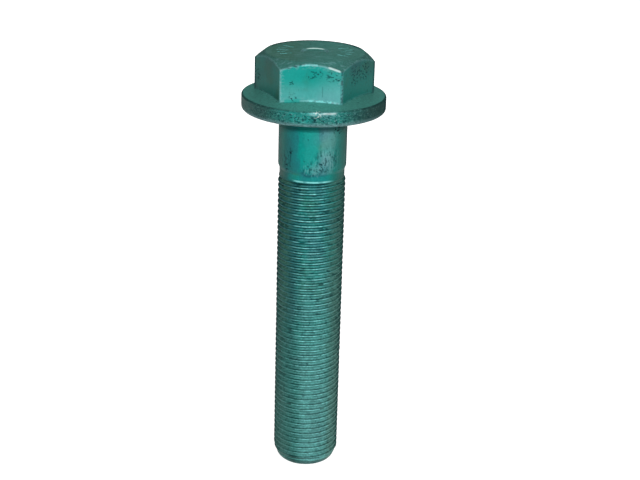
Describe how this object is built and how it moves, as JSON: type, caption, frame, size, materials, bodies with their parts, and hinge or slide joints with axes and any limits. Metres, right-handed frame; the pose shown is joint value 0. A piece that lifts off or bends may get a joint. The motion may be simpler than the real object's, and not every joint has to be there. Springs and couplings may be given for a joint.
{
  "type": "flange bolt",
  "caption": "Hexagon flange bolt with a plain shank, a relieved neck and a long fine thread that ends in a chamfered point, in worn teal-coated steel.",
  "frame": {"origin": "centre of the bearing face, the underside of the flange, on the bolt's axis", "axes": "+Z along the bolt's axis from the point towards the top of the head; a wrench flat faces -Y"},
  "size_m": [0.05, 0.05, 0.1552],
  "materials": {
    "coated_steel": "thin satin teal-green coating over forged steel, rubbed pale on the edges and scuffed dark"
  },
  "bodies": {
    "root": {"flange_bolt": "coated_steel"}
  },
  "joints": []
}
